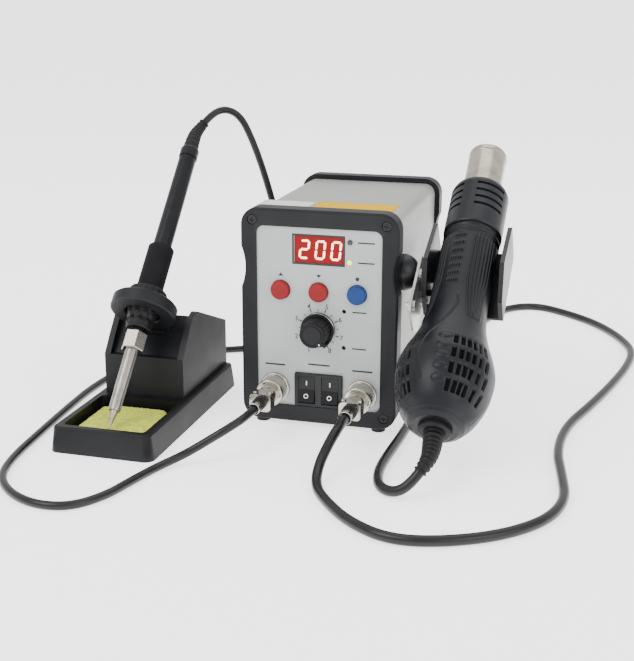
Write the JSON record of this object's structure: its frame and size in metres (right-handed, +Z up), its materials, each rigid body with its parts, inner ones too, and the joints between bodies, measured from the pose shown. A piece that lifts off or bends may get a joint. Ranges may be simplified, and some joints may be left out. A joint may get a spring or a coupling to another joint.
{
  "type": "soldering and hot-air rework station",
  "caption": "Bench rework station: box power unit with display and keys, hot-air gun in a side cradle, and a soldering iron in a stand with a sponge tray.",
  "frame": {"origin": "on the bench, under the middle of the whole set without its free cords", "axes": "+Z up, the front panel faces -Y, +X to the right of someone facing the panel"},
  "size_m": [0.3617, 0.4859, 0.188],
  "materials": {
    "bezel_plastic": "satin black moulding with a fine grain",
    "case_paint": "pale grey powder coat",
    "panel_grey": "light grey matt overlay",
    "display_red": "red filter, lit from behind",
    "lamp_lens": "clear epoxy lens",
    "button_red": "glossy red",
    "button_blue": "glossy blue",
    "knob_plastic": "satin black",
    "rocker_plastic": "semi-gloss black",
    "nickel": "nickel plate, lightly brushed",
    "zinc_steel": "zinc plate",
    "stainless": "turned stainless steel",
    "gun_plastic": "satin blue-black heat-resistant moulding",
    "cradle_plastic": "semi-gloss black",
    "bracket_paint": "black powder coat",
    "soft_rubber": "matt black",
    "foam": "matt black closed-cell foam",
    "handle_plastic": "satin black",
    "cord_silicone": "semi-gloss black silicone",
    "stand_plastic": "matt black moulding",
    "sponge_cellulose": "open-pored yellow-green cellulose",
    "circuit_board": "green solder mask",
    "transformer_core": "varnished laminations",
    "ceramic": "fired ceramic"
  },
  "bodies": {
    "station": {"front_bezel": "bezel_plastic", "rear_bezel": "bezel_plastic", "case_sleeve": "case_paint", "front_panel": "panel_grey", "rear_panel": "panel_grey", "case_feet": "soft_rubber", "bezel_screws": "zinc_steel", "display_window": "display_red", "display_module": "bezel_plastic", "panel_leds": "lamp_lens", "potentiometer": "zinc_steel", "switch_frame": "rocker_plastic", "solder_socket": "nickel", "air_socket": "nickel", "solder_plug": "nickel", "air_plug": "nickel", "control_board": "circuit_board", "power_transformer": "transformer_core", "mains_inlet": "rocker_plastic", "holder_boss": "cradle_plastic", "holder_bracket": "bracket_paint", "holder_screws": "zinc_steel", "gun_cradle": "cradle_plastic", "gun_cord_floor": "cord_silicone", "iron_cord_floor": "cord_silicone", "stand_base": "stand_plastic", "stand_block": "stand_plastic", "stand_ring": "stand_plastic", "sponge": "sponge_cellulose"},
    "up_key": {"button_up": "button_red"},
    "down_key": {"button_down": "button_red"},
    "set_key": {"button_set": "button_blue"},
    "air_knob": {"knob": "knob_plastic", "pot_shaft": "zinc_steel"},
    "solder_rocker": {"rocker_solder": "rocker_plastic"},
    "air_rocker": {"rocker_air": "rocker_plastic"},
    "solder_ring": {"solder_lock_ring": "nickel"},
    "air_ring": {"air_lock_ring": "nickel"},
    "air_trimmer": {"trim_screw_air": "zinc_steel"},
    "solder_trimmer": {"trim_screw_solder": "zinc_steel"},
    "gun": {"gun_shell_front": "gun_plastic", "gun_shell_back": "gun_plastic", "gun_end_cap": "gun_plastic", "gun_relief": "soft_rubber", "gun_collar": "gun_plastic", "nozzle_tube": "stainless", "heater_core": "ceramic", "fan_motor": "bezel_plastic", "gun_cord_hang": "cord_silicone"},
    "fan": {"fan_rotor": "bezel_plastic"},
    "iron": {"iron_tip": "nickel", "iron_barrel": "stainless", "iron_heater": "ceramic", "iron_neck": "handle_plastic", "iron_grip": "soft_rubber", "iron_foam_sleeve": "foam", "iron_handle": "handle_plastic", "iron_relief": "soft_rubber", "iron_cord_hang": "cord_silicone"},
    "nut": {"barrel_nut": "nickel"}
  },
  "joints": [
    {"name": "up_press", "type": "slide", "parent": "station", "child": "up_key", "axis": [0, 1, 0], "range_m": [0, 0.0012], "stiffness_N_per_m": 800, "springref_m": -0.0004},
    {"name": "down_press", "type": "slide", "parent": "station", "child": "down_key", "axis": [0, 1, 0], "range_m": [0, 0.0012], "stiffness_N_per_m": 800, "springref_m": -0.0004},
    {"name": "set_press", "type": "slide", "parent": "station", "child": "set_key", "axis": [0, 1, 0], "range_m": [0, 0.0012], "stiffness_N_per_m": 800, "springref_m": -0.0004},
    {"name": "knob_turn", "type": "hinge", "parent": "station", "child": "air_knob", "pos_m": [0.01556, -0.03044, 0.0649], "axis": [0, -1, 0], "range_deg": [-12.5, 295.5]},
    {"name": "solder_switch", "type": "hinge", "parent": "station", "child": "solder_rocker", "pos_m": [0.00826, -0.02884, 0.0249], "axis": [1, 0, 0], "range_deg": [0, 20]},
    {"name": "air_switch", "type": "hinge", "parent": "station", "child": "air_rocker", "pos_m": [0.02346, -0.02884, 0.0249], "axis": [1, 0, 0], "range_deg": [0, 20]},
    {"name": "solder_ring_turn", "type": "hinge", "parent": "station", "child": "solder_ring", "pos_m": [-0.01274, -0.03644, 0.0245], "axis": [0, -1, 0], "continuous": true},
    {"name": "air_ring_turn", "type": "hinge", "parent": "station", "child": "air_ring", "pos_m": [0.04386, -0.03644, 0.0245], "axis": [0, -1, 0], "continuous": true},
    {"name": "air_trim", "type": "hinge", "parent": "station", "child": "air_trimmer", "pos_m": [0.03176, -0.02444, 0.0773], "axis": [0, -1, 0], "range_deg": [-135, 135]},
    {"name": "solder_trim", "type": "hinge", "parent": "station", "child": "solder_trimmer", "pos_m": [0.03176, -0.02444, 0.0539], "axis": [0, -1, 0], "range_deg": [-135, 135]},
    {"name": "gun_lift", "type": "slide", "parent": "station", "child": "gun", "axis": [0, -0.5807, 0.8141], "range_m": [0, 0.06]},
    {"name": "fan_spin", "type": "hinge", "parent": "gun", "child": "fan", "pos_m": [0.10056, -0.0588, 0.05227], "axis": [0, -0.5807, 0.8141], "continuous": true},
    {"name": "iron_lift", "type": "slide", "parent": "station", "child": "iron", "axis": [0, 0.6959, 0.7181], "range_m": [0, 0.1]},
    {"name": "nut_turn", "type": "hinge", "parent": "iron", "child": "nut", "pos_m": [-0.09614, -0.05838, 0.05537], "axis": [0, 0.6959, 0.7181], "continuous": true}
  ]
}
